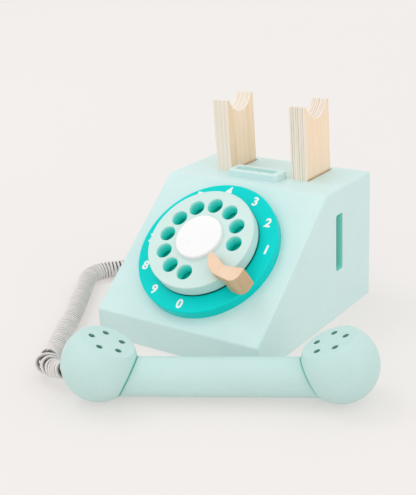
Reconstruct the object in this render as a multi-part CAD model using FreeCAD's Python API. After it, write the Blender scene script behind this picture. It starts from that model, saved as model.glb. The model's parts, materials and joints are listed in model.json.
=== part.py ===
"""Wooden toy rotary telephone: painted box body, turning finger wheel, loose handset, curly cord.

Millimetres. The origin is the middle of the body's underside. +X is the body's right, -Y its front,
+Z up. The handset lies on the ground in front of the body.
"""
import FreeCAD, Part
import math
import os

V = FreeCAD.Vector
X_AXIS = V(1, 0, 0)
Y_AXIS = V(0, 1, 0)
Z_AXIS = V(0, 0, 1)

# Body box
BODY_W = 140.0
BODY_D = 168.0
BODY_H = 100.5
LIP_H = 21.0
TOP_DEPTH = 70.5
WALL = 6.0
EDGE_R = 2.5
SIDE_EDGE_R = 1.5
HALF_W = BODY_W / 2
INNER_W = HALF_W - WALL
FRONT_Y = -BODY_D / 2
BACK_Y = BODY_D / 2
RIDGE_Y = BACK_Y - TOP_DEPTH
SLOPE = math.atan2(BODY_H - LIP_H, RIDGE_Y - FRONT_Y)
BASE_GAP = 0.15
BLOCK = 12.0

# Cradle posts and the slots on the top and on the right side
POST_T = 13.6
POST_D = 37.0
POST_H = 55.6
POST_X = 33.9
POST_Y = BACK_Y - 27.7
POST_SUNK = WALL + 18.0
POST_LEAN = 1.8
NOTCH_R = 16.2
NOTCH_DEPTH = 11.2
POST_EDGE_R = 0.6
POST_SIDE_GAP = 0.45
POST_BOTTOM_GAP = 0.25
POST_BACK_GAP = 2.0
SOCKET_WALL = 8.0
SOCKET_FLOOR = 4.0
SLOT_X = -0.7
SLOT_Y = BACK_Y - 51.7
SLOT_L = 34.0
SLOT_W = 7.4
FRAME_L = 44.5
FRAME_D = 17.0
FRAME_Y = SLOT_Y + 0.8
FRAME_H = 5.5
FRAME_CORNER_R = 3.8
SIDE_SLOT_W = 10.0
SIDE_SLOT_H = 44.0
SIDE_SLOT_Z = 59.0
SLOT_CORNER_R = 2.0

# Dial. Heights are measured from the slanted panel's face, along its normal.
DIAL_UP = 63.5
PLATE_R = 54.6
PLATE_T = 8.0
WHEEL_R = 41.2
WHEEL_LOW = 9.2
WHEEL_TOP = 19.0
HOLE_R = 6.0
HOLE_PITCH_R = 28.3
HOLE_COUNT = 10
HOLE_FIRST = 1.8
HOLE_STEP = 30.0
CAP_R = 17.9
CAP_TOP = 22.2
BOLT_R = 2.5
BUSH_R = 4.0
RUNNING_GAP = 0.05
BUSH_TOP = 15.0
NUT_WASHER_LOW = 15.2
NUT_LOW = 16.0
NUT_TOP = 20.0
BOLT_TOP = 20.6
NUT_AF = 8.0
RECESS_R = 7.5
CAP_POCKET_R = 5.4
CAP_POCKET_TOP = 21.2

# Finger stop, in the slanted panel's own axes about the wheel's centre
STOP_TOP = 27.0
STOP_ARM_LOW = 20.3
STOP_FOOT_R = 46.8
STOP_OUTLINE = [
    (22.9, -13.1),
    (17.9, -12.9),
    (22.7, -27.3),
    (48.4, -32.6),
    (50.3, -19.7),
    (35.0, -21.0),
]
STOP_CORNER_RADII = [3.0, 1.6, 17.0, 7.0, 0.6, 11.0]
STOP_SCREW = (44.0, -24.2)

# Screws
SCREW_R = 1.6
SCREW_HEAD_R = 3.2
SCREW_HEAD_H = 2.0
PLATE_SCREW_R = 44.0
PLATE_SCREW_ANGLES = (50.0, 170.0, 290.0)

# Handset, in its own axes: +X along the bar, origin under its middle on the ground
BALL_R = 25.0
BALL_X = 77.1
BAR_R = 13.0
BAR_Z = 15.6
FACET_TILT = 23.0
FACET_AT = 16.9
FACET_EDGE_R = 0.9
JOINT_DROP = 27.5
JOINT_AT = 20.2
SPEAK_HOLE_R = 2.2
SPEAK_RING_R = 10.7
SPEAK_DEPTH = 9.0
DOWEL_R = 4.0
DOWEL_HALF = 12.0
HANDSET_YAW = 29.1
HANDSET_MID = V(63.07, -120.2, 0)

# Curly cord
CORD_R = 1.3
COIL_R = 7.25
CORD_HOLE_R = 1.5
GROMMET_R = 4.5
GROMMET_STEM_R = 2.8
GROMMET_T = 1.5
KNOT_R = 4.2
BODY_EXIT = V(-HALF_W, 50.0, 14.0)
BODY_KNOT_X = -INNER_W + 6.0
BODY_KNOT_FLAT = BODY_KNOT_X - 3.2
BALL_EXIT_DROP = 20.0
BALL_EXIT_TURN = 20.0
BALL_CORD_DEPTH = 16.0
COIL_ROUTE = [
    V(-80, 50, 14),
    V(-90, 50, 14),
    V(-101, 44.5, 10.5),
    V(-111.5, 34.5, 7.7),
    V(-121, 24, 7.4),
    V(-130.5, 13.5, 7.4),
    V(-138.5, 5, 7.4),
    V(-143, -4, 7.4),
    V(-142, -14, 7.4),
    V(-136, -24, 7.4),
    V(-127, -37, 7.4),
    V(-117.5, -52, 7.4),
    V(-107.5, -68, 7.4),
    V(-97, -84, 7.4),
    V(-88.5, -100.5, 7.4),
    V(-79, -116.5, 7.4),
    V(-71, -129.5, 7.4),
    V(-64.5, -140, 7.4),
    V(-61, -148.5, 7.4),
    V(-56, -155, 8),
    V(-48.5, -159, 9.6),
    V(-40.5, -161.2, 11.8),
    V(-33.5, -162.2, 14.1),
]


def cylinder(radius, low, high, centre=(0.0, 0.0)):
    return Part.makeCylinder(radius, high - low, V(centre[0], centre[1], low), Z_AXIS)


def box(low, high):
    size = high - low
    return Part.makeBox(size.x, size.y, size.z, low)


def polar(radius, degrees):
    angle = math.radians(degrees)
    return radius * math.cos(angle), radius * math.sin(angle)


def rounded_wire(points, radii):
    """Closed wire through points, with each corner rounded to its own radius."""
    edges = []
    ends = []
    count = len(points)
    for i in range(count):
        before = (points[i - 1] - points[i]).normalize()
        after = (points[(i + 1) % count] - points[i]).normalize()
        if radii[i] == 0:
            ends.append((points[i], None, points[i]))
            continue
        half = before.getAngle(after) / 2
        reach = radii[i] / math.tan(half)
        bisector = (before + after).normalize()
        centre = points[i] + bisector * (radii[i] / math.sin(half))
        ends.append((points[i] + before * reach, centre - bisector * radii[i], points[i] + after * reach))
    for i in range(count):
        start, middle, finish = ends[i]
        if middle is not None:
            edges.append(Part.Arc(start, middle, finish).toShape())
        edges.append(Part.LineSegment(finish, ends[(i + 1) % count][0]).toShape())
    return Part.Wire(edges)


def prism(points, radii, depth):
    return Part.Face(rounded_wire(points, radii)).extrude(depth)


def rounded_slab(length, width, low, high, radius, centre):
    """Upright block with rounded corners, length along X and width along Y."""
    x, y = length / 2, width / 2
    corners = [V(centre[0] + i * x, centre[1] + j * y, low) for i, j in ((-1, -1), (1, -1), (1, 1), (-1, 1))]
    return prism(corners, [radius] * 4, V(0, 0, high - low))


def edges_at(shape, test):
    return [edge for edge in shape.Edges if all(test(v.Point) for v in edge.Vertexes)]


def hexagon(across_flats, low, high):
    corner = across_flats / math.sqrt(3)
    points = [V(*polar(corner, 60 * i), low) for i in range(6)]
    return prism(points, [0] * 6, V(0, 0, high - low))


# ---------------------------------------------------------------- body panels
OUTER = [
    V(0, FRONT_Y, 0),
    V(0, FRONT_Y, LIP_H),
    V(0, RIDGE_Y, BODY_H),
    V(0, BACK_Y, BODY_H),
    V(0, BACK_Y, 0),
]
OUTER_RADII = [0, EDGE_R, EDGE_R, EDGE_R, 0]


def inner_corners():
    """The body profile's corners, moved in by the wall."""
    front = FRONT_Y + WALL
    back = BACK_Y - WALL
    top = BODY_H - WALL
    start = V(0, FRONT_Y + WALL * math.sin(SLOPE), LIP_H - WALL * math.cos(SLOPE))
    rise = math.tan(SLOPE)
    lip_top = start.z + (front - start.y) * rise
    ridge = start.y + (top - start.z) / rise
    return [V(0, front, 0), V(0, front, lip_top), V(0, ridge, top), V(0, back, top), V(0, back, 0)]


def wall_panel(index):
    """One wall between the side panels, mitred against its neighbours."""
    inner = inner_corners()
    shift = V(-INNER_W, 0, 0)
    width = V(2 * INNER_W, 0, 0)
    solid = prism([p + shift for p in OUTER], OUTER_RADII, width)
    quad = [OUTER[index], OUTER[index + 1], inner[index + 1], inner[index]]
    return solid.common(prism([p + shift for p in quad], [0] * 4, width))


def side_panel(sign):
    outer_x = sign * HALF_W
    panel = prism([p + V(outer_x, 0, 0) for p in OUTER], OUTER_RADII, V(-sign * WALL, 0, 0))
    rim = [
        edge
        for edge in edges_at(panel, lambda p: abs(p.x - outer_x) < 0.01)
        if edge.CenterOfMass.z > 0.01
    ]
    return panel.makeFillet(SIDE_EDGE_R, rim)


def side_slot():
    x = INNER_W - 1
    y, z = SIDE_SLOT_W / 2, SIDE_SLOT_H / 2
    corners = [V(x, SLOT_Y + i * y, SIDE_SLOT_Z + j * z) for i, j in ((-1, -1), (1, -1), (1, 1), (-1, 1))]
    return prism(corners, [SLOT_CORNER_R] * 4, V(WALL + 2, 0, 0))


def card_slot(low, high):
    return rounded_slab(SLOT_L, SLOT_W, low, high, 1.0, (SLOT_X, SLOT_Y))


def slot_frame():
    frame = rounded_slab(FRAME_L, FRAME_D, BODY_H, BODY_H + FRAME_H, FRAME_CORNER_R, (SLOT_X, FRAME_Y))
    rim = edges_at(frame, lambda p: abs(p.z - BODY_H - FRAME_H) < 0.01)
    return frame.makeFillet(1.2, rim).cut(card_slot(BODY_H - 1, BODY_H + FRAME_H + 1))


def post_slot(sign):
    """Opening in the top panel for a post, tight at its front with spare room behind it."""
    half = POST_T / 2 + POST_SIDE_GAP
    front = POST_Y - POST_D / 2
    back = POST_Y + POST_D / 2 + POST_BACK_GAP
    low = BODY_H - WALL - 1
    corners = [V(sign * POST_X + i * half, y, low) for i, y in ((-1, front), (1, front), (1, back), (-1, back))]
    return prism(corners, [0, 0, 1.5, 1.5], V(0, 0, WALL + 2))


def base_panel():
    x = INNER_W - BASE_GAP
    y = BACK_Y - WALL - BASE_GAP
    return box(V(-x, -y, 0), V(x, y, WALL))


def block_centres():
    x = INNER_W - BLOCK / 2
    y = BACK_Y - WALL - BLOCK / 2
    return [(i * x, j * y) for i in (-1, 1) for j in (-1, 1)]


def corner_block(centre):
    low = V(centre[0] - BLOCK / 2, centre[1] - BLOCK / 2, WALL)
    return box(low, low + V(BLOCK, BLOCK, BLOCK))


# ---------------------------------------------------------------- cradle
def cradle_post(sign):
    """Plywood board with a round notch across its top. It stands loose in its slot and leans a little."""
    x = sign * POST_X - POST_T / 2
    low = BODY_H - POST_SUNK
    high = BODY_H + POST_H
    board = box(V(x, POST_Y - POST_D / 2, low), V(x + POST_T, POST_Y + POST_D / 2, high))
    axis_z = high - NOTCH_DEPTH + NOTCH_R
    board = board.cut(Part.makeCylinder(NOTCH_R, POST_T, V(x, POST_Y, axis_z), X_AXIS))
    shown = [edge for edge in board.Edges if edge.CenterOfMass.z > BODY_H]
    board = board.makeFillet(POST_EDGE_R, shown)
    board.rotate(V(sign * POST_X, POST_Y, BODY_H - POST_SUNK / 2), Y_AXIS, -POST_LEAN)
    return board


def post_socket(sign):
    """Inner block that holds a post's sunk end."""
    x = sign * POST_X
    top = BODY_H - WALL
    floor = BODY_H - POST_SUNK - SOCKET_FLOOR
    half = POST_T / 2 + SOCKET_WALL
    low = V(x - half, POST_Y - POST_D / 2 - SOCKET_WALL, floor)
    high = V(x + half, BACK_Y - WALL, top)
    reach = POST_T / 2 + POST_SIDE_GAP
    pocket_low = V(x - reach, POST_Y - POST_D / 2, BODY_H - POST_SUNK - POST_BOTTOM_GAP)
    pocket_high = V(x + reach, POST_Y + POST_D / 2, top + 1)
    return box(low, high).cut(box(pocket_low, pocket_high))


# ---------------------------------------------------------------- dial
def on_panel(shape):
    """Moves a shape from the dial's own axes to its place on the slanted panel."""
    moved = shape.copy()
    moved.rotate(V(0, 0, 0), X_AXIS, math.degrees(SLOPE))
    moved.translate(
        V(0, FRONT_Y + DIAL_UP * math.cos(SLOPE), LIP_H + DIAL_UP * math.sin(SLOPE))
    )
    return moved


def number_plate():
    plate = cylinder(PLATE_R, 0, PLATE_T)
    rim = edges_at(plate, lambda p: abs(p.z - PLATE_T) < 0.01)
    return plate.makeFillet(1.0, rim)


def finger_hole_places():
    return [polar(HOLE_PITCH_R, HOLE_FIRST + HOLE_STEP * i) for i in range(HOLE_COUNT)]


def finger_wheel():
    wheel = cylinder(WHEEL_R, WHEEL_LOW, WHEEL_TOP)
    rim = [edge for edge in wheel.Edges if isinstance(edge.Curve, Part.Circle)]
    wheel = wheel.makeFillet(0.6, rim)
    for place in finger_hole_places():
        wheel = wheel.cut(cylinder(HOLE_R, WHEEL_LOW - 1, WHEEL_TOP + 1, place))
    mouths = [
        edge
        for edge in wheel.Edges
        if isinstance(edge.Curve, Part.Circle)
        and abs(edge.Curve.Radius - HOLE_R) < 0.01
        and abs(edge.CenterOfMass.z - WHEEL_TOP) < 0.01
    ]
    wheel = wheel.makeFillet(0.5, mouths)
    wheel = wheel.cut(cylinder(BUSH_R, WHEEL_LOW - 1, BUSH_TOP))
    return wheel.cut(cylinder(RECESS_R, BUSH_TOP, WHEEL_TOP + 1))


def centre_cap():
    cap = cylinder(CAP_R, WHEEL_TOP, CAP_TOP)
    rim = edges_at(cap, lambda p: abs(p.z - CAP_TOP) < 0.01)
    return cap.makeFillet(1.3, rim).cut(cylinder(CAP_POCKET_R, WHEEL_TOP - 1, CAP_POCKET_TOP))


def ring(outer_r, inner_r, low, high):
    return cylinder(outer_r, low, high).cut(cylinder(inner_r, low - 1, high + 1))


def dial_bolt():
    head = cylinder(4.5, -WALL - 4.0, -WALL - 1.0)
    return head.fuse(cylinder(BOLT_R, -WALL - 1.0, BOLT_TOP)).removeSplitter()


def lock_nut():
    return hexagon(NUT_AF, NUT_LOW, NUT_TOP).cut(cylinder(BOLT_R, NUT_LOW - 1, NUT_TOP + 1))


def finger_stop():
    """Curved wooden arm over the wheel, with a foot on the number plate's rim."""
    corners = [V(x, y, PLATE_T) for x, y in STOP_OUTLINE]
    block = prism(corners, STOP_CORNER_RADII, V(0, 0, STOP_TOP - PLATE_T))
    block = block.cut(cylinder(STOP_FOOT_R, PLATE_T - 1, STOP_ARM_LOW))
    rim = edges_at(block, lambda p: abs(p.z - STOP_TOP) < 0.01)
    return block.makeFillet(0.5, rim)


def wood_screw(start, tip_height, centre):
    """Pan-head screw standing on height start, its shank reaching up to tip_height."""
    head = cylinder(SCREW_HEAD_R, start - SCREW_HEAD_H, start, centre)
    return head.fuse(cylinder(SCREW_R, start, tip_height, centre)).removeSplitter()


def flush_screw(centre):
    """Countersunk screw up through the base panel into a corner block."""
    head = Part.makeCone(SCREW_HEAD_R, SCREW_R, SCREW_HEAD_H, V(centre[0], centre[1], 0), Z_AXIS)
    return head.fuse(cylinder(SCREW_R, SCREW_HEAD_H, WALL + 8, centre)).removeSplitter()


def post_screw(sign):
    """Screw from the socket's inner side into the post's sunk end."""
    x = sign * (POST_X - POST_T / 2 - SOCKET_WALL)
    z = BODY_H - POST_SUNK + 9
    out = V(sign, 0, 0)
    head = Part.makeCylinder(SCREW_HEAD_R, SCREW_HEAD_H, V(x - sign * SCREW_HEAD_H, POST_Y + 6, z), out)
    return head.fuse(Part.makeCylinder(SCREW_R, SOCKET_WALL + 9, V(x, POST_Y + 6, z), out)).removeSplitter()


# ---------------------------------------------------------------- handset
def tilted(degrees):
    """Unit vector in the handset's upright plane, turned up from +X."""
    x, z = polar(1.0, degrees)
    return V(x, 0, z)


def joint_normal(sign):
    """Out of a ball's joint flat, towards the bar. sign is -1 at the left ball."""
    n = tilted(-JOINT_DROP)
    return V(-sign * n.x, 0, n.z)


def facet_normal(sign):
    n = tilted(90 - FACET_TILT)
    return V(-sign * n.x, 0, n.z)


def beyond(origin, normal, size=120.0):
    """Block that fills everything past a plane."""
    return Part.makeCylinder(size, size, origin, normal)


def ball_centre(sign):
    return V(sign * BALL_X, 0, BALL_R)


def speaking_holes(sign):
    """Five small holes in a ring, square to the listening facet."""
    n = facet_normal(sign)
    away = V(sign * n.z, 0, abs(n.x))
    across = n.cross(away)
    centre = ball_centre(sign) + n * FACET_AT
    holes = []
    for i in range(5):
        c, s = polar(SPEAK_RING_R, 72 * i)
        start = centre + away * c + across * s + n
        holes.append(Part.makeCylinder(SPEAK_HOLE_R, SPEAK_DEPTH + 1, start, n * -1))
    return holes


def ball(sign):
    centre = ball_centre(sign)
    facet = facet_normal(sign)
    joint = joint_normal(sign)
    solid = Part.makeSphere(BALL_R, centre)
    solid = solid.cut(beyond(centre + facet * FACET_AT, facet))
    solid = solid.cut(beyond(centre + joint * JOINT_AT, joint))
    facet_rim = [e for e in solid.Edges if abs((e.CenterOfMass - centre).dot(facet) - FACET_AT) < 0.01]
    joint_rim = [e for e in solid.Edges if abs((e.CenterOfMass - centre).dot(joint) - JOINT_AT) < 0.01]
    solid = solid.makeFillet(FACET_EDGE_R, facet_rim)
    solid = solid.makeFillet(0.5, [e for e in solid.Edges for r in joint_rim if e.isSame(r) or matches(e, r)])
    for hole in speaking_holes(sign):
        solid = solid.cut(hole)
    return solid


def matches(edge, other):
    """True for the same edge before and after a fillet elsewhere on the solid."""
    same_place = (edge.CenterOfMass - other.CenterOfMass).Length < 0.01
    return same_place and abs(edge.Length - other.Length) < 0.01


def joint_centre(sign):
    """Where the bar's axis meets a ball's joint flat."""
    flat = ball_centre(sign) + joint_normal(sign) * JOINT_AT
    n = joint_normal(sign)
    return V(flat.x - (BAR_Z - flat.z) * n.z / n.x, 0, BAR_Z)


def handset_bar():
    bar = Part.makeCylinder(BAR_R, 2 * BALL_X, V(-BALL_X, 0, BAR_Z), X_AXIS)
    for sign in (-1, 1):
        n = joint_normal(sign)
        bar = bar.cut(beyond(joint_centre(sign), n * -1))
    ends = [e for e in bar.Edges if not isinstance(e.Curve, (Part.Line, Part.LineSegment))]
    return bar.makeFillet(0.5, ends)


def joint_dowel(sign):
    n = joint_normal(sign)
    return Part.makeCylinder(DOWEL_R, 2 * DOWEL_HALF, joint_centre(sign) - n * DOWEL_HALF, n)


def ball_exit_direction():
    """Out of the left ball where the cord enters it, in the handset's axes."""
    n = tilted(-BALL_EXIT_DROP)
    turn = math.radians(BALL_EXIT_TURN)
    return V(-n.x * math.cos(turn), n.x * math.sin(turn), n.z)


def ball_exit():
    return ball_centre(-1) + ball_exit_direction() * BALL_R


def in_place(shape):
    """Moves a shape from the handset's own axes to where the handset lies."""
    moved = shape.copy()
    moved.rotate(V(0, 0, 0), Z_AXIS, HANDSET_YAW)
    moved.translate(HANDSET_MID)
    return moved


def placed_point(point):
    return FreeCAD.Rotation(Z_AXIS, HANDSET_YAW).multVec(point) + HANDSET_MID


# ---------------------------------------------------------------- cord
def tube_path(points):
    """Straight runs joined by tangent arcs, each as large as its two runs allow."""
    edges = []
    radii = []
    start = points[0]
    for i in range(1, len(points) - 1):
        back = points[i - 1] - points[i]
        ahead = points[i + 1] - points[i]
        shorter = min(back.Length, ahead.Length)
        back.normalize()
        ahead.normalize()
        half_turn = (math.pi - back.getAngle(ahead)) / 2
        reach = 0.45 * shorter
        radius = reach / math.tan(half_turn)
        bisector = (back + ahead).normalize()
        middle = points[i] + bisector * (radius / math.cos(half_turn) - radius)
        edges.append(Part.LineSegment(start, points[i] + back * reach).toShape())
        edges.append(Part.Arc(points[i] + back * reach, middle, points[i] + ahead * reach).toShape())
        start = points[i] + ahead * reach
        radii.append(radius)
    edges.append(Part.LineSegment(start, points[-1]).toShape())
    return Part.Wire(edges), radii


def round_tube(name, points, radius):
    path, radii = tube_path(points)
    heading = points[1] - points[0]
    section = Part.Wire(Part.makeCircle(radius, points[0], heading))
    tube = path.makePipeShell([section], True, False)
    expected = math.pi * radius * radius * path.Length
    print(name, "length %.1f" % path.Length, "volume / expected %.4f" % (tube.Volume / expected))
    print(name, "bend radii", " ".join("%.1f" % r for r in radii))
    return tube


def grommet(origin, outward, stem_length):
    """Flanged ring: the flange outside the surface at origin, the stem in its hole."""
    flange = Part.makeCylinder(GROMMET_R, GROMMET_T, origin, outward)
    rim = [e for e in flange.Edges if (e.CenterOfMass - origin).dot(outward) > GROMMET_T - 0.01]
    flange = flange.makeFillet(0.6, [e for e in rim if isinstance(e.Curve, Part.Circle)])
    stem = Part.makeCylinder(GROMMET_STEM_R, stem_length, origin, outward * -1)
    bore = Part.makeCylinder(CORD_HOLE_R, stem_length + 10, origin + outward * 5, outward * -1)
    return flange.fuse(stem).removeSplitter().cut(bore)


def cord_knot(centre, flat_x):
    """Knot inside the body that keeps the cord from pulling out."""
    knot = Part.makeSphere(KNOT_R, centre)
    return knot.cut(beyond(V(flat_x, centre.y, centre.z), V(-1, 0, 0)))


# ---------------------------------------------------------------- assembly
def build_housing():
    bolt = on_panel(dial_bolt())
    plate_screws = [
        on_panel(wood_screw(-WALL, PLATE_T - 2, polar(PLATE_SCREW_R, angle)))
        for angle in PLATE_SCREW_ANGLES
    ]
    stop_screw = on_panel(wood_screw(-WALL, STOP_TOP - 8, STOP_SCREW))
    base_screws = [flush_screw(centre) for centre in block_centres()]
    post_screws = [post_screw(sign) for sign in (-1, 1)]
    exit_hole = Part.makeCylinder(GROMMET_STEM_R, WALL + 2, BODY_EXIT + V(-1, 0, 0), X_AXIS)

    def without(shape, tools):
        for tool in tools:
            shape = shape.cut(tool)
        return shape

    through_panel = [bolt, stop_screw] + plate_screws
    top = wall_panel(2).cut(card_slot(BODY_H - WALL - 1, BODY_H + 1))
    return {
        "base_panel": without(base_panel(), base_screws),
        "front_lip_panel": wall_panel(0),
        "dial_panel": without(wall_panel(1), through_panel),
        "top_panel": without(top, [post_slot(-1), post_slot(1)]),
        "back_panel": wall_panel(3),
        "left_side_panel": side_panel(-1).cut(exit_hole),
        "right_side_panel": side_panel(1).cut(side_slot()),
        "corner_blocks": Part.makeCompound(
            [without(corner_block(centre), base_screws) for centre in block_centres()]
        ),
        "base_screws": Part.makeCompound(base_screws),
        "slot_frame": slot_frame(),
        "left_cradle_post": cradle_post(-1).cut(post_screws[0]),
        "right_cradle_post": cradle_post(1).cut(post_screws[1]),
        "left_post_socket": post_socket(-1).cut(post_screws[0]),
        "right_post_socket": post_socket(1).cut(post_screws[1]),
        "post_screws": Part.makeCompound(post_screws),
        "number_plate": without(on_panel(number_plate()), through_panel),
        "plate_screws": Part.makeCompound(plate_screws),
        "finger_stop": on_panel(finger_stop()).cut(stop_screw),
        "stop_screw": stop_screw,
        "dial_bolt": bolt,
        "bolt_washer": on_panel(ring(7.0, BOLT_R, -WALL - 1.0, -WALL)),
        "wheel_spacer": on_panel(ring(9.0, BOLT_R, PLATE_T, WHEEL_LOW - 0.2)),
        "nut_washer": on_panel(ring(5.5, BOLT_R, NUT_WASHER_LOW, NUT_LOW)),
        "lock_nut": on_panel(lock_nut()),
        "body_grommet": grommet(BODY_EXIT, V(-1, 0, 0), WALL),
        "body_knot": cord_knot(V(BODY_KNOT_X, BODY_EXIT.y, BODY_EXIT.z), BODY_KNOT_FLAT),
    }


def build_dial():
    return {
        "finger_wheel": on_panel(finger_wheel()),
        "wheel_bush": on_panel(ring(BUSH_R, BOLT_R + RUNNING_GAP, WHEEL_LOW, BUSH_TOP)),
        "centre_cap": on_panel(centre_cap()),
    }


def build_handset():
    outward = ball_exit_direction()
    hole_start = ball_exit() + outward
    seat = ball_exit() - outward * 0.7
    left = ball(-1).cut(joint_dowel(-1))
    left = left.cut(beyond(seat, outward, 12.0).common(Part.makeCylinder(GROMMET_R + 0.3, 5, seat, outward)))
    left = left.cut(Part.makeCylinder(CORD_HOLE_R, BALL_CORD_DEPTH + 1, hole_start, outward * -1))
    left = left.cut(Part.makeCylinder(GROMMET_STEM_R, 4.0, seat, outward * -1))
    bar = handset_bar().cut(joint_dowel(-1)).cut(joint_dowel(1))
    return {
        "handset_bar": in_place(bar),
        "mouth_ball": in_place(left),
        "ear_ball": in_place(ball(1).cut(joint_dowel(1))),
        "joint_dowels": in_place(Part.makeCompound([joint_dowel(-1), joint_dowel(1)])),
        "ball_grommet": in_place(grommet(seat, outward, 4.0)),
    }


def build_cord():
    outward = FreeCAD.Rotation(Z_AXIS, HANDSET_YAW).multVec(ball_exit_direction())
    exit_point = placed_point(ball_exit())
    deep_end = exit_point - outward * BALL_CORD_DEPTH
    near_ball = exit_point + outward * 2.0
    knot_flat = V(BODY_KNOT_FLAT, BODY_EXIT.y, BODY_EXIT.z)
    coil_end = COIL_ROUTE[-1]
    print("ball exit", exit_point, "outward", outward)
    body_lead = Part.makeCylinder(CORD_R, (knot_flat - COIL_ROUTE[0]).Length, knot_flat, V(-1, 0, 0))
    straight_on = coil_end + (coil_end - COIL_ROUTE[-2]).normalize() * 2.2
    ball_lead = round_tube("cord_ball_lead", [coil_end, straight_on, near_ball, deep_end], CORD_R)
    return {
        "cord_body_lead": body_lead,
        "cord_coil": round_tube("cord_coil", COIL_ROUTE, COIL_R),
        "cord_ball_lead": ball_lead,
    }


def main():
    os.makedirs("parts", exist_ok=True)
    nodes = {}
    for group in (build_housing(), build_dial(), build_handset(), build_cord()):
        nodes.update(group)
    for name in sorted(nodes):
        shape = nodes[name]
        if not shape.isValid():
            print(name, "is not valid")
        shape.exportStep(os.path.join("parts", name + ".step"))
    print(len(nodes), "nodes")


main()
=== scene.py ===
"""Wooden toy rotary telephone on a plain pale floor. Metres, in the CAD model's frame."""
import bpy
import json
import math
from mathutils import Euler, Matrix, Quaternion, Vector


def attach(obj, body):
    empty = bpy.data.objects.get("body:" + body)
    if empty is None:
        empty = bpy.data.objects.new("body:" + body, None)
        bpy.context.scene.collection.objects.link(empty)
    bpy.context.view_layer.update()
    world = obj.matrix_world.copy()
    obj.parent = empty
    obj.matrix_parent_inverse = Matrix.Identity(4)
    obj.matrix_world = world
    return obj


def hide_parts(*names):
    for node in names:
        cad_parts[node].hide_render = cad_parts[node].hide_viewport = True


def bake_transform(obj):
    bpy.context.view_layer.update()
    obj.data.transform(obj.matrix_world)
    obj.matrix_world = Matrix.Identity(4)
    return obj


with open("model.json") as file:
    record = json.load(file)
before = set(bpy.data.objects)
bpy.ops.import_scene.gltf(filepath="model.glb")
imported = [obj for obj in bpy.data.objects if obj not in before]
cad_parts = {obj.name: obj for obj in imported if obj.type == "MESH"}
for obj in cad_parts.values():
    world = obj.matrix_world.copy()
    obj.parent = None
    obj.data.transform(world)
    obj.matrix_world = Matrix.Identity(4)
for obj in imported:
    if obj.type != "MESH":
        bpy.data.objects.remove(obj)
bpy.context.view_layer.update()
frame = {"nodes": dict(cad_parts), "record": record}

# Camera
CAMERA_AT = Vector((0.3816, -0.5682, 0.3065))
CAMERA_AZIMUTH = 35.71
CAMERA_ELEVATION = 20.22
CAMERA_ROLL = -2.82
CAMERA_LENS = 70.0
CAMERA_SENSOR = 36.0
CAMERA_NEAR = 0.01
CAMERA_FAR = 500

LIGHT_AIM = Vector((0, 0, 0.05))
WORLD_LIGHT = 0.98

# Dial
DIAL_JOINT = next(j for j in frame["record"]["behaviour"]["joints"] if j["name"] == "dial_turn")
DIAL_AXIS = Vector(DIAL_JOINT["axis"]).normalized()
DIAL_POINT = Vector(DIAL_JOINT["pos_m"])
DIAL_HEIGHT = 0.012
PLATE_T = 0.008
WHEEL_LOW = 0.0092
WHEEL_TOP = 0.019
HOLES_OUTER_R = 0.0365
SHADE_INNER_R = 0.0409
SHADE_OUTER_R = 0.0418
SLOPE = math.atan2(-DIAL_AXIS.y, DIAL_AXIS.z)
DIAL_UP = Vector((0, math.cos(SLOPE), math.sin(SLOPE)))

# Handset, lying on the floor
BALL_X = 0.0771
BALL_R = 0.025
FACET_TILT = math.radians(23)
FACET_AT = 0.0169
JOINT_DROP = math.radians(27.5)
JOINT_AT = 0.0202
SEAM_HALF = 0.0003
SEAM_FADE = 0.0009
SEAM_REACH = 0.022
SPEAKING_HOLE_DEPTH = 0.0095
SPEAKING_HOLE_RIM = 0.0002
SPEAKING_HOLES_R = 0.0135
HANDSET_HALF_WIDTH = 0.0265
HANDSET_YAW = math.radians(29.1)
HANDSET_MID = Vector((0.06307, -0.1202, 0))

# Slots' insides, where painted light goes, as low and high corners just behind the outer faces
SIDE_SLOT = ((0.055, 0.0269, 0.0365), (0.0697, 0.0377, 0.0815))
TOP_SLOT = ((-0.0180, 0.0284, 0.088), (0.0166, 0.0362, 0.1057))

# Digits
DIGITS = "1234567890"
DIGIT_RING_R = 0.0484
DIGIT_ANGLES = (7.4, 34.6, 62.9, 94.0, 123.6, 153.0, 182.4, 210.8, 239.8, 271.8)
DIGIT_SIZE = 0.0098
DIGIT_BOLD = 0.00032
DIGIT_T = 0.00006

# Plywood
POST_T = 0.0136
POST_LEAN = math.radians(1.8)
POST_X = 0.0339
POST_PIVOT_Z = 0.0885
POST_FOOT_Z = 0.1005
POST_FOOT_FADE = 0.0022
STOP_FOOT_FADE = 0.0035
POST_ACROSS = Vector((math.cos(POST_LEAN), 0, math.sin(POST_LEAN)))
PLY_COUNT = 7

# Colours
MINT = (0.605, 0.785, 0.77)
TEAL = (0.0, 0.64, 0.60)
# Painted shade: the plate's ring under the wheel's rim
UNDER_WHEEL_SHADE = (0.0, 0.13, 0.11)
# Painted shade down the speaking holes
SPEAKING_HOLE_SHADE = (0.22, 0.48, 0.40)
# Painted shade: the handset's paint darkened and greened
HANDSET_SHADE = (0.855, 0.90, 0.885)
# Painted light: the slots' insides brighter and greener, as if lit by light bouncing in them
SIDE_SLOT_PAINTED_LIGHT = (0.32, 0.97, 0.86)
TOP_SLOT_PAINTED_LIGHT = (0.70, 0.99, 0.95)
SEAM = (0.13, 0.52, 0.40)
PALE = (0.60, 0.76, 0.725)
WHITE = (0.87, 0.865, 0.865)
FLOOR = (0.897, 0.863, 0.840)
# Painted shade and bounce light on the finger holes' walls, from top to bottom
HOLE_WALL_SHADE_AND_BOUNCE = [(0.56, 0.92, 0.89), (0.16, 0.89, 0.82), (0.0, 0.83, 0.74)]
# Painted shade on the plate seen through the finger holes
HOLE_FLOOR_SHADE = (0.0, 0.57, 0.48)
GLUE = (0.42, 0.31, 0.20)
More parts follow.
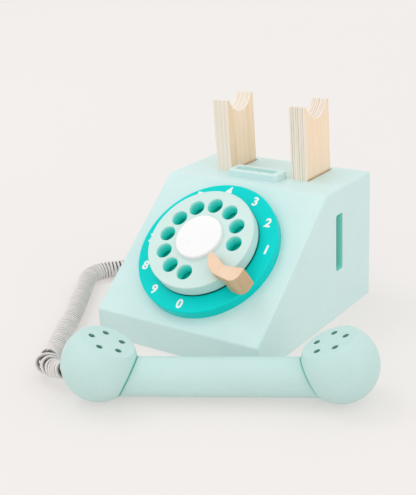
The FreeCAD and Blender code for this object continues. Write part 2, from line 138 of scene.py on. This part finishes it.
# Painted shade at the foot of the posts' faces, where they stand in their slots
POST_FOOT_SHADE = (0.56, 0.35, 0.14)
STOP_FOOT_COLOUR = (0.80, 0.40, 0.21)
PAINT_SPECULAR = 0.35
PLATE_SPECULAR = 0.1

# Colour ramps, as places and colours
LIGHT_PLY = [(0.25, (0.82, 0.73, 0.62)), (0.55, (0.87, 0.79, 0.70)), (0.8, (0.90, 0.83, 0.75))]
DARK_PLY = [(0.30, (0.74, 0.61, 0.48)), (0.52, (0.84, 0.745, 0.64)), (0.75, (0.88, 0.79, 0.69))]
YELLOW_VENEER = [(0.25, (0.79, 0.61, 0.41)), (0.5, (0.87, 0.695, 0.50)), (0.75, (0.91, 0.76, 0.60))]
PEACH_VENEER = [(0.25, (0.90, 0.655, 0.465)), (0.5, (0.91, 0.71, 0.52)), (0.75, (0.91, 0.76, 0.60))]
STOP_SIDE = [(0.30, (0.66, 0.39, 0.205)), (0.5, (0.58, 0.38, 0.20)), (0.68, (0.67, 0.47, 0.285))]
STOP_TOP = [(0.3, (0.79, 0.545, 0.37)), (0.5, (0.82, 0.59, 0.42)), (0.7, (0.83, 0.625, 0.455))]
PINE_BANDS = [(0.35, (0.78, 0.58, 0.34)), (0.5, (0.68, 0.45, 0.22)), (0.62, (0.80, 0.62, 0.38))]
# Painted shade in the grooves between the cord's turns
CORD_GROOVE_SHADE = [(0.10, (0.26, 0.27, 0.24)), (0.60, (0.66, 0.66, 0.64)), (0.92, (1, 1, 1))]

# Floor
FLOOR_HALF = 200
FLOOR_DROP = 0.0002
FLOOR_GLOW = 0.55
GLOW_NEAR = 0.3
GLOW_FAR = 2.0

# Cord
STRAND_R = 0.00128
COIL_R = 0.0059
BODY_LEAD = 0.0185
BALL_LEAD = 0.0172
BODY_RAMP = 0.0075
BALL_RAMP = 0.005
RAMP_SPACING = 0.012
SEGMENTS_PER_TURN = 22
STRAND_SIDES = 12
LEAD_STEP = 0.0008
END_GAP = 0.0004
BRAID_PITCH = 0.0011
BRAID_THREADS = 6
CORD_ROUTE = [
    (-0.0612, 0.05, 0.014),
    (-0.070, 0.05, 0.014),
    (-0.080, 0.05, 0.014),
    (-0.090, 0.05, 0.014),
    (-0.101, 0.0445, 0.0105),
    (-0.1115, 0.0345, 0.0077),
    (-0.121, 0.024, 0.0074),
    (-0.1305, 0.0135, 0.0074),
    (-0.1385, 0.005, 0.0074),
    (-0.143, -0.004, 0.0074),
    (-0.142, -0.014, 0.0074),
    (-0.136, -0.024, 0.0074),
    (-0.127, -0.037, 0.0074),
    (-0.1175, -0.052, 0.0074),
    (-0.1075, -0.068, 0.0074),
    (-0.097, -0.084, 0.0074),
    (-0.0885, -0.1005, 0.0074),
    (-0.0790, -0.1165, 0.0074),
    (-0.0710, -0.1295, 0.0074),
    (-0.0648, -0.1398, 0.0075),
    (-0.0615, -0.1467, 0.0094),
    (-0.0577, -0.1534, 0.0112),
    (-0.0505, -0.1573, 0.0111),
    (-0.0420, -0.1602, 0.0122),
    (-0.0340, -0.1620, 0.0143),
    (-0.0294, -0.1617, 0.0157),
    (-0.0126, -0.1590, 0.0219),
]
# The turns beyond this fraction are spread open, so the shade painted in their grooves is lighter
FOLD_AT = 0.869
FOLD_SHADE = 0.5
# Along the coil, as fractions of its length: turn spacing, turn radius against the plain coil's, and
# how many degrees the tops of the turns tip back against the coil's direction
COIL_SHAPE = [
    (0.0, 0.0032, 1.0, 0),
    (0.235, 0.0033, 1.0, 0),
    (0.275, 0.0029, 1.0, 0),
    (0.867, 0.0028, 1.0, 0),
    (0.873, 0.0110, 1.08, 48),
    (0.884, 0.0120, 1.30, 80),
    (0.895, 0.0070, 1.36, 72),
    (0.911, 0.0080, 1.36, 66),
    (0.926, 0.0050, 1.08, 40),
    (0.939, 0.0030, 0.86, 20),
    (0.955, 0.0028, 0.82, 0),
    (1.0, 0.0028, 0.82, 0),
]


# ---------------------------------------------------------------- camera and light
def make_camera():
    data = bpy.data.cameras.new("camera")
    data.lens = CAMERA_LENS
    data.sensor_width = CAMERA_SENSOR
    data.clip_start = CAMERA_NEAR
    data.clip_end = CAMERA_FAR
    camera = bpy.data.objects.new("camera", data)
    bpy.context.scene.collection.objects.link(camera)
    a, e = math.radians(CAMERA_AZIMUTH), math.radians(CAMERA_ELEVATION)
    back = Vector((math.sin(a) * math.cos(e), -math.cos(a) * math.cos(e), math.sin(e)))
    right = Vector((math.cos(a), math.sin(a), 0))
    turn = Quaternion(back, math.radians(CAMERA_ROLL))
    right = turn @ right
    up = back.cross(right)
    camera.matrix_world = Matrix.Translation(CAMERA_AT) @ Matrix((right, up, back)).transposed().to_4x4()
    bpy.context.scene.camera = camera


def area_light(name, place, size, power):
    data = bpy.data.lights.new(name, "AREA")
    data.size = size
    data.energy = power
    light = bpy.data.objects.new(name, data)
    light.location = place
    light.rotation_euler = (LIGHT_AIM - Vector(place)).to_track_quat("-Z", "Y").to_euler()
    bpy.context.scene.collection.objects.link(light)
    return light


def make_light():
    world = bpy.data.worlds.new("studio")
    world.use_nodes = True
    background = world.node_tree.nodes["Background"]
    background.inputs["Color"].default_value = (1.0, 1.0, 1.0, 1)
    background.inputs["Strength"].default_value = WORLD_LIGHT
    bpy.context.scene.world = world
    bpy.context.scene.view_settings.view_transform = "Standard"
    key = area_light("key", (-0.95, -0.15, 1.75), 0.7, 4.0)
    key.visible_glossy = False
    area_light("front", (-0.1, -1.8, 0.6), 1.4, 2.7)
    area_light("right", (1.6, -0.2, 1.0), 1.4, 3.4)


# ---------------------------------------------------------------- node helpers
class Nodes:
    """Short names for building one material's node tree."""

    def __init__(self, name):
        self.material = bpy.data.materials.new(name)
        self.material.use_nodes = True
        self.tree = self.material.node_tree
        self.shader = self.tree.nodes["Principled BSDF"]

    def link(self, source, target):
        self.tree.links.new(source, target)

    def new(self, kind, **settings):
        node = self.tree.nodes.new(kind)
        for key, value in settings.items():
            setattr(node, key, value)
        return node

    def math(self, operation, a, b=None, c=None):
        node = self.new("ShaderNodeMath", operation=operation)
        for socket, value in zip(node.inputs, (a, b, c)):
            if value is None:
                continue
            if isinstance(value, (int, float)):
                socket.default_value = value
            else:
                self.link(value, socket)
        return node.outputs[0]

    def position(self, scale=(1, 1, 1), turn=(0, 0, 0)):
        where = self.new("ShaderNodeTexCoord").outputs["Object"]
        mapping = self.new("ShaderNodeMapping")
        mapping.inputs["Scale"].default_value = scale
        mapping.inputs["Rotation"].default_value = turn
        self.link(where, mapping.inputs["Vector"])
        return mapping.outputs["Vector"]

    def along(self, axis):
        """The object position measured along one direction."""
        node = self.new("ShaderNodeVectorMath", operation="DOT_PRODUCT")
        self.link(self.new("ShaderNodeTexCoord").outputs["Object"], node.inputs[0])
        node.inputs[1].default_value = axis
        return node.outputs["Value"]

    def facing(self, axis):
        """How far the surface faces along one direction, from -1 to 1."""
        node = self.new("ShaderNodeVectorMath", operation="DOT_PRODUCT")
        self.link(self.new("ShaderNodeNewGeometry").outputs["True Normal"], node.inputs[0])
        node.inputs[1].default_value = axis
        return node.outputs["Value"]

    def stretched(self, axes, scales):
        """Texture space whose three axes are given, each with its own scale."""
        node = self.new("ShaderNodeCombineXYZ")
        for axis, scale, socket in zip(axes, scales, node.inputs):
            self.link(self.math("MULTIPLY", self.along(axis), scale), socket)
        return node.outputs[0]

    def noise(self, where, scale, detail=4.0, roughness=0.5):
        node = self.new("ShaderNodeTexNoise")
        node.inputs["Scale"].default_value = scale
        node.inputs["Detail"].default_value = detail
        node.inputs["Roughness"].default_value = roughness
        self.link(where, node.inputs["Vector"])
        return node.outputs["Fac"]

    def ramp(self, value, stops):
        node = self.new("ShaderNodeValToRGB")
        elements = node.color_ramp.elements
        while len(elements) < len(stops):
            elements.new(0.5)
        for element, (place, colour) in zip(elements, stops):
            element.position = place
            element.color = (*colour, 1)
        self.link(value, node.inputs["Fac"])
        return node.outputs["Color"]

    def grey(self, value, low, high, out_low, out_high):
        node = self.new("ShaderNodeMapRange")
        keys = ("From Min", "From Max", "To Min", "To Max")
        for key, number in zip(keys, (low, high, out_low, out_high)):
            node.inputs[key].default_value = number
        self.link(value, node.inputs["Value"])
        return node.outputs["Result"]

    def mix(self, factor, a, b, blend="MIX"):
        node = self.new("ShaderNodeMix", data_type="RGBA", blend_type=blend)
        for socket, value in zip((node.inputs[0], node.inputs[6], node.inputs[7]), (factor, a, b)):
            if isinstance(value, (int, float)):
                socket.default_value = value
            elif isinstance(value, tuple):
                socket.default_value = (*value, 1)
            else:
                self.link(value, socket)
        return node.outputs[2]

    def bump(self, height, distance, strength=1.0, under=None):
        node = self.new("ShaderNodeBump")
        node.inputs["Strength"].default_value = strength
        node.inputs["Distance"].default_value = distance
        self.link(height, node.inputs["Height"])
        if under is not None:
            self.link(under, node.inputs["Normal"])
        return node.outputs["Normal"]

    def finish(self, colour, roughness, normal=None, **constants):
        self.link(colour, self.shader.inputs["Base Color"])
        if isinstance(roughness, (int, float)):
            self.shader.inputs["Roughness"].default_value = roughness
        else:
            self.link(roughness, self.shader.inputs["Roughness"])
        if normal is not None:
            self.link(normal, self.shader.inputs["Normal"])
        for key, value in constants.items():
            self.shader.inputs[key].default_value = value
        return self.material


def in_handset(vector, is_point=True):
    """A point or direction in the handset's own axes, turned to where it lies."""
    turned = Matrix.Rotation(HANDSET_YAW, 3, "Z") @ vector
    return turned + HANDSET_MID if is_point else turned


def scaled(colour, factor):
    return tuple(min(1.0, c * factor) for c in colour)


# ---------------------------------------------------------------- materials
def paint_parts(n, colour, roughness):
    """Sprayed satin paint on board: faint mottling, orange peel and a trace of the fibres below."""
    where = n.position()
    mottle = n.noise(where, 38, 3)
    fine = n.noise(where, 420, 3, 0.6)
    base = n.ramp(mottle, [(0.3, scaled(colour, 0.98)), (0.7, scaled(colour, 1.015))])
    speck = n.ramp(fine, [(0.30, (0.965, 0.972, 0.972)), (0.46, (1.0, 1.0, 1.0))])
    tone = n.mix(1.0, base, speck, "MULTIPLY")
    peel = n.noise(where, 900, 2, 0.45)
    fibres = n.noise(n.position((90, 90, 700)), 1.0, 3, 0.6)
    normal = n.bump(peel, 0.00006, 0.35)
    normal = n.bump(fibres, 0.00005, 0.25, normal)
    shine = n.grey(mottle, 0.3, 0.7, roughness - 0.05, roughness + 0.07)
    return tone, shine, normal


def painted_wood(name, colour, roughness):
    n = Nodes(name)
    tone, shine, normal = paint_parts(n, colour, roughness)
    return n.finish(tone, shine, normal, **{"Specular IOR Level": PAINT_SPECULAR})


def from_axis(n, point, axis):
    """Height along an axis through a point, and distance from that axis."""
    height = n.math("SUBTRACT", n.along(axis), point.dot(axis))
    offset = n.new("ShaderNodeVectorMath", operation="DISTANCE")
    n.link(n.new("ShaderNodeTexCoord").outputs["Object"], offset.inputs[0])
    offset.inputs[1].default_value = point
    squared = n.math("SUBTRACT", n.math("POWER", offset.outputs["Value"], 2), n.math("POWER", height, 2))
    return height, n.math("SQRT", n.math("MAXIMUM", squared, 0.0))


def between(n, value, low, high):
    return n.math("MULTIPLY", n.math("GREATER_THAN", value, low), n.math("LESS_THAN", value, high))


def within(n, low, high):
    """One inside an upright box, zero outside it."""
    inside = 1.0
    for axis, a, b in zip(((1, 0, 0), (0, 1, 0), (0, 0, 1)), low, high):
        inside = n.math("MULTIPLY", between(n, n.along(axis), a, b), inside)
    return inside


def body_paint():
    """Mint paint: painted shade on the handset and speaking holes, painted light in the slots, green seams.
    """
    n = Nodes("mint_body")
    tone, shine, normal = paint_parts(n, MINT, 0.40)
    # Painted shade over the handset
    across = Vector((-math.sin(HANDSET_YAW), math.cos(HANDSET_YAW), 0))
    aside = n.math("ABSOLUTE", n.math("SUBTRACT", n.along(across), HANDSET_MID.dot(across)))
    on_handset = n.math("LESS_THAN", aside, HANDSET_HALF_WIDTH)
    tone = n.mix(on_handset, tone, n.mix(1.0, tone, HANDSET_SHADE, "MULTIPLY"))
    # Painted light inside the side and top slots
    tone = n.mix(within(n, *SIDE_SLOT), tone, SIDE_SLOT_PAINTED_LIGHT)
    tone = n.mix(within(n, *TOP_SLOT), tone, TOP_SLOT_PAINTED_LIGHT)
    for sign in (-1, 1):
        centre = in_handset(Vector((sign * BALL_X, 0, BALL_R)))
        facet = in_handset(Vector((-sign * math.sin(FACET_TILT), 0, math.cos(FACET_TILT))), False)
        # Painted shade down the speaking holes
        height, away = from_axis(n, centre, facet)
        hollow = between(n, height, FACET_AT - SPEAKING_HOLE_DEPTH, FACET_AT - SPEAKING_HOLE_RIM)
        hollow = n.math("MULTIPLY", hollow, n.math("LESS_THAN", away, SPEAKING_HOLES_R))
        tone = n.mix(hollow, tone, SPEAKING_HOLE_SHADE)
        joint = in_handset(Vector((-sign * math.cos(JOINT_DROP), 0, -math.sin(JOINT_DROP))), False)
        height, away = from_axis(n, centre, joint)
        off_joint = n.math("ABSOLUTE", n.math("SUBTRACT", height, JOINT_AT))
        seam = n.grey(off_joint, SEAM_HALF, SEAM_FADE, 1.0, 0.0)
        seam = n.math("MULTIPLY", seam, n.math("LESS_THAN", away, SEAM_REACH))
        tone = n.mix(seam, tone, SEAM)
    return n.finish(tone, shine, normal, **{"Specular IOR Level": PAINT_SPECULAR})


def plate_paint():
    """Turquoise paint, with painted shade: a dark ring under the wheel's rim, a darker green below the
    finger holes.
    """
    n = Nodes("teal_plate")
    tone, shine, normal = paint_parts(n, TEAL, 0.3)
    away = from_axis(n, DIAL_POINT, DIAL_AXIS)[1]
    # Painted shade in a ring on the plate under the wheel's rim
    tone = n.mix(n.grey(away, SHADE_INNER_R, SHADE_OUTER_R, 1.0, 0.0), tone, UNDER_WHEEL_SHADE)
    # Painted shade on the plate below the finger holes
    tone = n.mix(n.math("LESS_THAN", away, HOLES_OUTER_R), tone, HOLE_FLOOR_SHADE)
    return n.finish(tone, shine, normal, **{"Specular IOR Level": PLATE_SPECULAR})


def wheel_paint():
    """Pale paint with painted shade and green bounce light down the finger holes, over faint drill marks."""
    n = Nodes("pale_wheel")
    tone, shine, normal = paint_parts(n, PALE, 0.38)
    height, away = from_axis(n, DIAL_POINT, DIAL_AXIS)
    depth = n.grey(height, WHEEL_TOP - DIAL_HEIGHT, WHEEL_LOW - DIAL_HEIGHT, 0.0, 1.0)
    in_hole = n.math("LESS_THAN", away, HOLES_OUTER_R)
    is_wall = n.math("LESS_THAN", n.math("ABSOLUTE", n.facing(DIAL_AXIS)), 0.3)
    in_hole = n.math("MULTIPLY", in_hole, is_wall)
    # Painted shade and bounce light on the finger holes' walls, by depth
    wall = n.ramp(depth, [(0.05, HOLE_WALL_SHADE_AND_BOUNCE[0]), (0.35, HOLE_WALL_SHADE_AND_BOUNCE[1]), (0.95, HOLE_WALL_SHADE_AND_BOUNCE[2])])
    tone = n.mix(in_hole, tone, wall)
    marks = n.noise(n.stretched(((1, 0, 0), DIAL_UP, DIAL_AXIS), (90, 90, 1100)), 1.0, 2)
    normal = n.bump(n.math("MULTIPLY", marks, in_hole), 0.0002, 0.5, normal)
    return n.finish(tone, shine, normal, **{"Specular IOR Level": PAINT_SPECULAR})


def plywood():
    """Plies lie across X: thin glue lines on the edges and in the notch, veneer on the faces, painted shade
    at their foot.
    """
    n = Nodes("plywood")
    is_right = n.math("GREATER_THAN", n.along((1, 0, 0)), 0.0)
    left_middle = Vector((-POST_X, 0, POST_PIVOT_Z)).dot(POST_ACROSS)
    right_middle = Vector((POST_X, 0, POST_PIVOT_Z)).dot(POST_ACROSS)
    middle = n.grey(is_right, 0, 1, left_middle, right_middle)
    wobble = n.noise(n.position((30, 30, 14)), 1.0, 2)
    depth = n.math("SUBTRACT", n.along(POST_ACROSS), middle)
    depth = n.math("MULTIPLY", n.math("ADD", depth, POST_T / 2), PLY_COUNT / POST_T)
    depth = n.math("ADD", depth, n.math("MULTIPLY", n.math("SUBTRACT", wobble, 0.5), 0.30))
    inside = n.math("FRACT", depth)
    odd = n.math("GREATER_THAN", n.math("MODULO", depth, 2.0), 1.0)
    long_grain = n.noise(n.position((900, 260, 22)), 1.0, 4, 0.6)
    pores = n.noise(n.position((2600, 900, 900)), 1.0, 3, 0.7)
    light = n.ramp(long_grain, LIGHT_PLY)
    dark = n.ramp(pores, DARK_PLY)
    stripes = n.mix(odd, light, dark)
    patchy = n.grey(n.noise(n.position((400, 60, 9)), 1.0, 2), 0.40, 0.60, 0.15, 1.0)
    glue = n.math("MINIMUM", inside, n.math("SUBTRACT", 1.0, inside))
    glue = n.math("MULTIPLY", n.grey(glue, 0.05, 0.14, 1.0, 0.0), patchy)
    glue = n.math("MULTIPLY", glue, n.grey(is_right, 0, 1, 0.30, 0.90))
    stripes = n.mix(glue, stripes, GLUE)
    veneer = n.noise(n.position((160, 300, 9)), 1.0, 5, 0.62)
    streak = n.noise(n.position((500, 1500, 30)), 1.0, 3, 0.6)
    yellow = n.ramp(veneer, YELLOW_VENEER)
    peach = n.ramp(veneer, PEACH_VENEER)
    face = n.mix(is_right, yellow, peach)
    face = n.mix(1.0, face, n.ramp(streak, [(0.3, (0.93, 0.91, 0.87)), (0.5, (1, 1, 1))]), "MULTIPLY")
    is_face = n.math("GREATER_THAN", n.math("ABSOLUTE", n.facing((1, 0, 0))), 0.8)
    # Painted shade at the foot of the faces
    foot = n.grey(n.along((0, 0, 1)), POST_FOOT_Z, POST_FOOT_Z + POST_FOOT_FADE, 0.85, 0.0)
    face = n.mix(foot, face, POST_FOOT_SHADE)
    colour = n.mix(is_face, stripes, face)
    height = n.math("ADD", n.math("MULTIPLY", pores, 0.5), long_grain)
    return n.finish(colour, 0.58, n.bump(height, 0.00010, 0.4))


def bare_wood():
    """Clear-sealed hardwood, its fibres upright from the plate: streaked sides and a plain end-grain top."""
    n = Nodes("bare_wood")
    axes = ((1, 0, 0), DIAL_UP, DIAL_AXIS)
    streaks = n.noise(n.stretched(axes, (900, 900, 45)), 1.0, 4, 0.65)
    bands = n.noise(n.stretched(axes, (170, 170, 16)), 1.0, 3, 0.5)
    pores = n.noise(n.stretched(axes, (1500, 1500, 1500)), 1.0, 3, 0.6)
    side = n.ramp(bands, STOP_SIDE)
    side = n.mix(0.45, side, n.ramp(streaks, [(0.32, (0.50, 0.30, 0.14)), (0.66, (0.72, 0.52, 0.33))]))
    height = n.math("SUBTRACT", n.along(DIAL_AXIS), DIAL_POINT.dot(DIAL_AXIS))
    plate_face = PLATE_T - DIAL_HEIGHT
    foot = n.grey(height, plate_face, plate_face + STOP_FOOT_FADE, 0.75, 0.0)
    side = n.mix(foot, side, STOP_FOOT_COLOUR)
    top = n.ramp(bands, STOP_TOP)
    top = n.mix(0.25, top, n.ramp(pores, [(0.35, (0.70, 0.46, 0.29)), (0.6, (0.86, 0.66, 0.49))]))
    is_top = n.math("GREATER_THAN", n.facing(DIAL_AXIS), 0.6)
    tone = n.mix(is_top, side, top)
    return n.finish(tone, 0.5, n.bump(streaks, 0.0001, 0.4))


def pine():
    n = Nodes("pine_block")
    fibres = n.noise(n.position((500, 500, 30)), 1.0, 4, 0.6)
    bands = n.noise(n.position((120, 120, 6)), 1.0, 2)
    tone = n.ramp(bands, PINE_BANDS)
    tone = n.mix(0.4, tone, n.ramp(fibres, [(0.3, (0.60, 0.42, 0.22)), (0.7, (0.86, 0.69, 0.45))]))
    return n.finish(tone, 0.7, n.bump(fibres, 0.0002, 0.5))


def zinc_steel():
    n = Nodes("zinc_steel")
    patches = n.noise(n.position(), 260, 4, 0.7)
    scratches = n.noise(n.position((4000, 400, 4000)), 1.0, 2)
    tone = n.ramp(patches, [(0.3, (0.42, 0.43, 0.45)), (0.7, (0.62, 0.62, 0.63))])
    shine = n.grey(patches, 0.3, 0.7, 0.28, 0.48)
    return n.finish(tone, shine, n.bump(scratches, 0.00003, 0.3), Metallic=1.0)


def moulded(name, colour, roughness):
    n = Nodes(name)
    grain = n.noise(n.position(), 1500, 2)
    cloud = n.noise(n.position(), 120, 2)
    tone = n.ramp(cloud, [(0.3, scaled(colour, 0.95)), (0.7, scaled(colour, 1.04))])
    return n.finish(tone, roughness, n.bump(grain, 0.00004, 0.3))


def braid():
    """Fine braided covering: two sets of threads cross along the strand's own length and girth, with painted
    shade between turns.
    """
    n = Nodes("cord_braid")
    where = n.new("ShaderNodeUVMap", uv_map="strand").outputs["UV"]
    uv = n.new("ShaderNodeSeparateXYZ")
    n.link(where, uv.inputs[0])
    along = n.math("MULTIPLY", uv.outputs["X"], 1 / BRAID_PITCH)
    around = n.math("MULTIPLY", uv.outputs["Y"], BRAID_THREADS)
    one = n.math("SINE", n.math("MULTIPLY", n.math("ADD", along, around), 2 * math.pi))
    two = n.math("SINE", n.math("MULTIPLY", n.math("SUBTRACT", along, around), 2 * math.pi))
    weave = n.math("MAXIMUM", one, two)
    shade = n.grey(weave, -0.6, 1.0, 0.88, 1.0)
    patches = n.noise(n.position(), 220, 3)
    tone = n.ramp(patches, [(0.3, (0.76, 0.72, 0.705)), (0.7, (0.83, 0.79, 0.775))])
    value = n.new("ShaderNodeCombineColor")
    for socket in value.inputs:
        n.link(shade, socket)
    tone = n.mix(1.0, tone, value.outputs[0], "MULTIPLY")
    out = n.new("ShaderNodeSeparateXYZ")
    n.link(n.new("ShaderNodeUVMap", uv_map="outside").outputs["UV"], out.inputs[0])
    # Painted shade in the grooves between turns
    groove = n.ramp(out.outputs["X"], CORD_GROOVE_SHADE)
    tone = n.mix(1.0, tone, groove, "MULTIPLY")
    normal = n.bump(weave, 0.00006, 0.6)
    return n.finish(tone, 0.8, normal, **{"Sheen Weight": 0.25, "Sheen Roughness": 0.5})


def make_materials():
    return {
        "mint_body": body_paint(),
        "teal_plate": plate_paint(),
        "pale_wheel": wheel_paint(),
        "white_cap": painted_wood("white_cap", WHITE, 0.35),
        "plywood": plywood(),
        "bare_wood": bare_wood(),
        "pine_block": pine(),
        "zinc_steel": zinc_steel(),
        "nylon": moulded("nylon", (0.82, 0.82, 0.78), 0.45),
        "grommet_plastic": moulded("grommet_plastic", (0.42, 0.43, 0.42), 0.55),
        "cord_braid": braid(),
    }


def dress(materials):
    for entry in frame["record"]["subparts"]:
        node = frame["nodes"][entry["node"]]
        node.data.materials.clear()
        node.data.materials.append(materials[entry["material_slot"]])


# ---------------------------------------------------------------- cord
def centre_line():
    """The route's NURBS spline, read back as points."""
    curve = bpy.data.curves.new("route", "CURVE")
    curve.dimensions = "3D"
    spline = curve.splines.new("NURBS")
    spline.points.add(len(CORD_ROUTE) - 1)
    for point, place in zip(spline.points, CORD_ROUTE):
        point.co = (*place, 1)
    spline.order_u = 3
    spline.use_endpoint_u = True
    spline.resolution_u = 24
    route = bpy.data.objects.new("route", curve)
    bpy.context.scene.collection.objects.link(route)
    bpy.context.view_layer.update()
    mesh = bpy.data.meshes.new_from_object(route)
    points = [v.co.copy() for v in mesh.vertices]
    bpy.data.objects.remove(route)
    bpy.data.meshes.remove(mesh)
    return points


def smooth_step(x):
    x = min(max(x, 0.0), 1.0)
    return x * x * (3 - 2 * x)


class Line:
    """A polyline that can be read at any distance along it, with a frame that doesn't twist."""

    def __init__(self, points):
        self.points = points
        self.at = [0.0]
        for a, b in zip(points, points[1:]):
            self.at.append(self.at[-1] + (b - a).length)
        self.length = self.at[-1]
        self.tangents = []
        for i in range(len(points)):
            step = points[min(i + 1, len(points) - 1)] - points[max(i - 1, 0)]
            self.tangents.append(step.normalized())
        side = self.tangents[0].cross(Vector((0, 0, 1))).normalized()
        self.sides = []
        for tangent in self.tangents:
            side = (side - tangent * side.dot(tangent)).normalized()
            self.sides.append(side.copy())
        self.index = 0

    def read(self, distance):
        i = self.index
        while i < len(self.at) - 2 and self.at[i + 1] < distance:
            i += 1
        self.index = i
        t = (distance - self.at[i]) / max(self.at[i + 1] - self.at[i], 1e-9)
        t = min(max(t, 0.0), 1.0)
        place = self.points[i].lerp(self.points[i + 1], t)
        tangent = self.tangents[i].lerp(self.tangents[i + 1], t).normalized()
        side = self.sides[i].lerp(self.sides[i + 1], t)
        side = (side - tangent * side.dot(tangent)).normalized()
        return place, tangent, side


def coil_shape(fraction):
    """Turn spacing, radius and tip at a fraction of the coil's length."""
    for before, after in zip(COIL_SHAPE, COIL_SHAPE[1:]):
        if fraction <= after[0]:
            t = smooth_step((fraction - before[0]) / (after[0] - before[0]))
            return [a + (b - a) * t for a, b in zip(before[1:], after[1:])]
    return COIL_SHAPE[-1][1:]


def tipped(out, tangent, angle):
    """A way out of the coil after its turn has tipped back about its level diameter."""
    return out + out.z * (Vector((0, 0, math.cos(angle) - 1)) - tangent * math.sin(angle))


def strand_points():
    """The strand's own centreline, and at each point the way out of the coil."""
    line = Line(centre_line())
    coil_start = BODY_LEAD
    coil_end = line.length - BALL_LEAD
    points = []
    outward = []
    distance = 0.0
    turn = 0.0
    while distance < line.length:
        place, tangent, side = line.read(distance)
        if coil_start < distance < coil_end:
            fraction = (distance - coil_start) / (coil_end - coil_start)
            spacing, radius, tip = coil_shape(fraction)
            swell = smooth_step((distance - coil_start) / BODY_RAMP)
            swell *= smooth_step((coil_end - distance) / BALL_RAMP)
            spacing *= 1 + 0.05 * math.sin(distance * 410) + 0.04 * math.sin(distance * 1130)
            spacing = RAMP_SPACING + (spacing - RAMP_SPACING) * smooth_step(swell)
            turn += 2 * math.pi / SEGMENTS_PER_TURN
            step = spacing / SEGMENTS_PER_TURN
            out = Quaternion(tangent, turn) @ side
            points.append(place + tipped(out, tangent, math.radians(tip)) * COIL_R * radius * swell)
            outward.append(out * smooth_step(swell) * (FOLD_SHADE if fraction > FOLD_AT else 1.0))
        else:
            step = LEAD_STEP
            points.append(place.copy())
            outward.append(Vector((0, 0, 0)))
        distance += step
    if (line.points[-1] - points[-1]).length > END_GAP:
        points.append(line.points[-1].copy())
        outward.append(Vector((0, 0, 0)))
    return points, outward


def strand_mesh(points, outward):
    """A round tube along the strand.

    One UV map holds length and girth for the braid, the other how far the surface faces out of the coil, for
    the painted shade between turns.
    """
    line = Line(points)
    verts = []
    facing = []
    for place, tangent, side, away in zip(points, line.tangents, line.sides, outward):
        for k in range(STRAND_SIDES):
            out = Quaternion(tangent, 2 * math.pi * k / STRAND_SIDES) @ side
            verts.append(place + out * STRAND_R)
            facing.append(1 - away.length + out.dot(away))
    faces = []
    for i in range(len(points) - 1):
        for k in range(STRAND_SIDES):
            m = (k + 1) % STRAND_SIDES
            a, b = i * STRAND_SIDES, (i + 1) * STRAND_SIDES
            faces.append((a + k, a + m, b + m, b + k))
    faces.append(tuple(reversed(range(STRAND_SIDES))))
    faces.append(tuple(range(len(verts) - STRAND_SIDES, len(verts))))
    mesh = bpy.data.meshes.new("curly_cord")
    mesh.from_pydata(verts, [], faces)
    strand = mesh.uv_layers.new(name="strand")
    outside = mesh.uv_layers.new(name="outside")
    for polygon in mesh.polygons:
        for corner, vertex in zip(polygon.loop_indices, polygon.vertices):
            outside.data[corner].uv = (facing[vertex], 0)
    corner = 0
    for i in range(len(points) - 1):
        for k in range(STRAND_SIDES):
            low, high = k / STRAND_SIDES, (k + 1) / STRAND_SIDES
            start, end = line.at[i], line.at[i + 1]
            for u, v in ((start, low), (start, high), (end, high), (end, low)):
                strand.data[corner].uv = (u, v)
                corner += 1
    mesh.shade_smooth()
    return mesh


def make_cord(materials):
    points, outward = strand_points()
    cord = bpy.data.objects.new("curly_cord", strand_mesh(points, outward))
    bpy.context.scene.collection.objects.link(cord)
    cord.data.materials.append(materials["cord_braid"])
    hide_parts("cord_body_lead", "cord_coil", "cord_ball_lead")
    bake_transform(cord)


# ---------------------------------------------------------------- digits
def on_plate(x, up):
    """A point on the number plate's face, measured from the dial's centre."""
    return DIAL_POINT + Vector((x, 0, 0)) + DIAL_UP * up + DIAL_AXIS * (PLATE_T - DIAL_HEIGHT)


def make_digits():
    ink = painted_wood("digit_white", (0.88, 0.88, 0.87), 0.4)
    for digit, degrees in zip(DIGITS, DIGIT_ANGLES):
        angle = math.radians(degrees)
        text = bpy.data.curves.new("digit_" + digit, "FONT")
        text.body = digit
        text.size = DIGIT_SIZE
        text.offset = DIGIT_BOLD
        text.extrude = DIGIT_T
        text.align_x = "CENTER"
        text.align_y = "CENTER"
        text.resolution_u = 8
        text.materials.append(ink)
        piece = bpy.data.objects.new("digit_" + digit, text)
        piece.rotation_euler = Euler((SLOPE, 0, 0))
        piece.location = on_plate(DIGIT_RING_R * math.cos(angle), DIGIT_RING_R * math.sin(angle))
        bpy.context.scene.collection.objects.link(piece)
        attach(piece, "housing")


# ---------------------------------------------------------------- floor
def make_floor():
    n = Nodes("floor")
    cloud = n.noise(n.position(), 3.0, 2)
    tone = n.ramp(cloud, [(0.3, scaled(FLOOR, 0.438)), (0.7, scaled(FLOOR, 0.442))])
    away = n.new("ShaderNodeVectorMath", operation="LENGTH")
    n.link(n.new("ShaderNodeTexCoord").outputs["Object"], away.inputs[0])
    spread = n.grey(away.outputs["Value"], GLOW_NEAR, GLOW_FAR, 0.0, 1.0)
    glow = n.ramp(spread, [(0.0, scaled(FLOOR, 0.92)), (1.0, FLOOR)])
    n.link(glow, n.shader.inputs["Emission Color"])
    material = n.finish(tone, 0.9, **{"Specular IOR Level": 0.0, "Emission Strength": FLOOR_GLOW})
    mesh = bpy.data.meshes.new("floor")
    corners = [(x * FLOOR_HALF, y * FLOOR_HALF, 0) for x, y in ((-1, -1), (1, -1), (1, 1), (-1, 1))]
    mesh.from_pydata(corners, [], [(0, 1, 2, 3)])
    mesh.materials.append(material)
    floor = bpy.data.objects.new("floor", mesh)
    floor.location.z = -FLOOR_DROP
    bpy.context.scene.collection.objects.link(floor)


make_camera()
materials = make_materials()
make_cord(materials)
make_light()
make_floor()
dress(materials)
make_digits()
